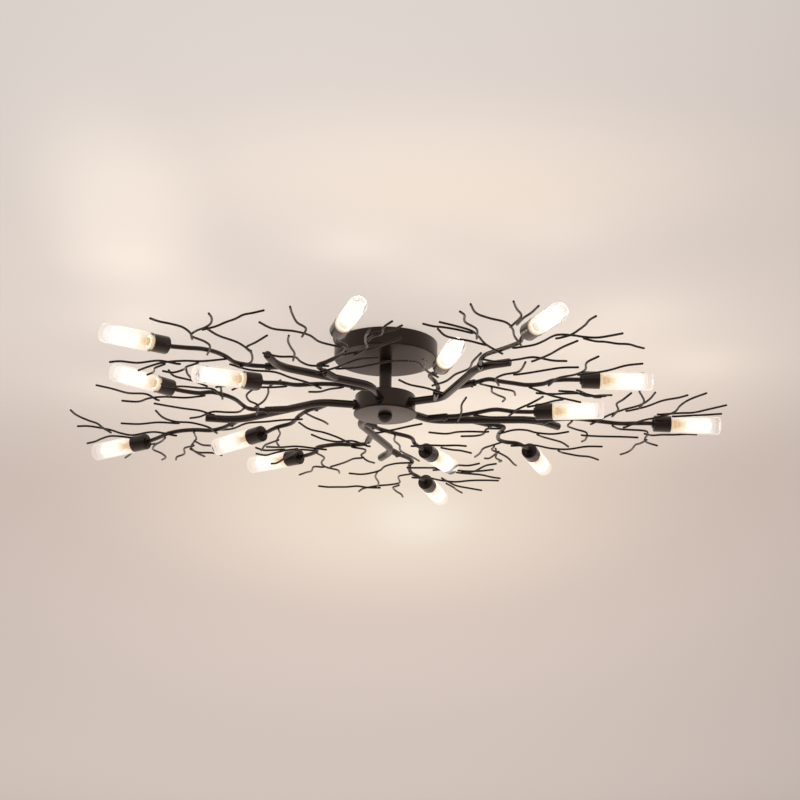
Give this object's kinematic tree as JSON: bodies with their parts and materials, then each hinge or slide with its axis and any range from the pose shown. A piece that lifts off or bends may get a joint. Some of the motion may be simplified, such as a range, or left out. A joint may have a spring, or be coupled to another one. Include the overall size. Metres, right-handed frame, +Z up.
{
  "type": "branch chandelier",
  "caption": "Ceiling light with branching dark metal arms from a central hub, bare twigs, and small tubular glass lamps at the branch tips.",
  "frame": {"origin": "middle of the ceiling strap's two screw slots, on the ceiling plane, which is also the middle of the canopy's rim", "axes": "+Z up along the stem into the ceiling, +X along the line of the two ceiling screws, and the picture was taken from the -Y side"},
  "size_m": [0.7673, 0.7677, 0.1009],
  "materials": {
    "dark_metal": "satin",
    "steel": "satin",
    "ceramic": "satin",
    "insulation": "matte",
    "bulb_glass": "gloss",
    "clear_glass": "gloss"
  },
  "bodies": {
    "frame": {"ceiling_bracket": "steel", "bracket_nut": "steel", "canopy": "dark_metal", "canopy_nut": "steel", "terminal_block": "ceramic", "nipple": "steel", "stem": "dark_metal", "hub_body": "dark_metal", "hub_nut": "steel", "arm_nuts": "steel", "wiring": "insulation", "hub_cover": "dark_metal", "set_screws": "dark_metal", "arm_tube_1": "dark_metal", "arm_tube_2": "dark_metal", "arm_tube_3": "dark_metal", "arm_tube_4": "dark_metal", "arm_tube_5": "dark_metal", "branch_tubes_1": "dark_metal", "branch_tubes_2": "dark_metal", "branch_tubes_3": "dark_metal", "branch_tubes_4": "dark_metal", "branch_tubes_5": "dark_metal", "twigs_1": "dark_metal", "twigs_2": "dark_metal", "twigs_3": "dark_metal", "twigs_4": "dark_metal", "twigs_5": "dark_metal", "cups_1": "dark_metal", "cups_2": "dark_metal", "cups_3": "dark_metal", "cups_4": "dark_metal", "cups_5": "dark_metal", "sockets_1": "ceramic", "sockets_2": "ceramic", "sockets_3": "ceramic", "sockets_4": "ceramic", "sockets_5": "ceramic", "bulbs_1": "bulb_glass", "bulbs_2": "bulb_glass", "bulbs_3": "bulb_glass", "bulbs_4": "bulb_glass", "bulbs_5": "bulb_glass"},
    "finial": {"finial": "dark_metal"},
    "glass_1a": {"glass_1a": "clear_glass"},
    "glass_1b": {"glass_1b": "clear_glass"},
    "glass_1c": {"glass_1c": "clear_glass"},
    "glass_2a": {"glass_2a": "clear_glass"},
    "glass_2b": {"glass_2b": "clear_glass"},
    "glass_2c": {"glass_2c": "clear_glass"},
    "glass_3a": {"glass_3a": "clear_glass"},
    "glass_3b": {"glass_3b": "clear_glass"},
    "glass_3c": {"glass_3c": "clear_glass"},
    "glass_4a": {"glass_4a": "clear_glass"},
    "glass_4b": {"glass_4b": "clear_glass"},
    "glass_4c": {"glass_4c": "clear_glass"},
    "glass_5a": {"glass_5a": "clear_glass"},
    "glass_5b": {"glass_5b": "clear_glass"},
    "glass_5c": {"glass_5c": "clear_glass"}
  },
  "joints": [
    {"name": "finial_screw", "type": "hinge", "parent": "frame", "child": "finial", "pos_m": [0, 0, -0.0872], "axis": [0, 0, 1], "continuous": true},
    {"name": "glass_1a_screw", "type": "hinge", "parent": "frame", "child": "glass_1a", "pos_m": [-0.25881, -0.04987, -0.06979], "axis": [-0.7928, -0.6083, 0.0389], "continuous": true},
    {"name": "glass_1b_screw", "type": "hinge", "parent": "frame", "child": "glass_1b", "pos_m": [-0.30543, 0.15061, -0.07961], "axis": [-0.8435, 0.5366, -0.0242], "continuous": true},
    {"name": "glass_1c_screw", "type": "hinge", "parent": "frame", "child": "glass_1c", "pos_m": [-0.16115, 0.10867, -0.08164], "axis": [-0.7375, 0.6751, -0.0194], "continuous": true},
    {"name": "glass_2a_screw", "type": "hinge", "parent": "frame", "child": "glass_2a", "pos_m": [-0.04484, -0.2599, -0.07243], "axis": [0.2818, -0.9589, 0.0327], "continuous": true},
    {"name": "glass_2b_screw", "type": "hinge", "parent": "frame", "child": "glass_2b", "pos_m": [-0.24854, -0.23113, -0.08429], "axis": [-0.8038, -0.5935, -0.0392], "continuous": true},
    {"name": "glass_2c_screw", "type": "hinge", "parent": "frame", "child": "glass_2c", "pos_m": [-0.15748, -0.11161, -0.08411], "axis": [-0.895, -0.4448, -0.0339], "continuous": true},
    {"name": "glass_3a_screw", "type": "hinge", "parent": "frame", "child": "glass_3a", "pos_m": [0.23741, -0.11466, -0.0804], "axis": [0.9999, 0.0121, -0.0082], "continuous": true},
    {"name": "glass_3b_screw", "type": "hinge", "parent": "frame", "child": "glass_3b", "pos_m": [0.15426, -0.30306, -0.08791], "axis": [0.3524, -0.9346, -0.0489], "continuous": true},
    {"name": "glass_3c_screw", "type": "hinge", "parent": "frame", "child": "glass_3c", "pos_m": [0.06387, -0.18307, -0.08464], "axis": [0.1849, -0.9821, -0.0365], "continuous": true},
    {"name": "glass_4a_screw", "type": "hinge", "parent": "frame", "child": "glass_4a", "pos_m": [0.18299, 0.18988, -0.07483], "axis": [0.3005, 0.9538, 0.0022], "continuous": true},
    {"name": "glass_4b_screw", "type": "hinge", "parent": "frame", "child": "glass_4b", "pos_m": [0.33621, 0.0521, -0.07681], "axis": [0.999, 0.0432, -0.0131], "continuous": true},
    {"name": "glass_4c_screw", "type": "hinge", "parent": "frame", "child": "glass_4c", "pos_m": [0.19398, 0.00365, -0.07862], "axis": [0.9914, -0.1307, -0.001], "continuous": true},
    {"name": "glass_5a_screw", "type": "hinge", "parent": "frame", "child": "glass_5a", "pos_m": [-0.12153, 0.23398, -0.07028], "axis": [-0.8069, 0.5902, 0.0241], "continuous": true},
    {"name": "glass_5b_screw", "type": "hinge", "parent": "frame", "child": "glass_5b", "pos_m": [0.05805, 0.33499, -0.07402], "axis": [0.2791, 0.9602, -0.0052], "continuous": true},
    {"name": "glass_5c_screw", "type": "hinge", "parent": "frame", "child": "glass_5c", "pos_m": [0.05829, 0.18478, -0.07784], "axis": [0.4416, 0.8972, 0.0033], "continuous": true}
  ]
}
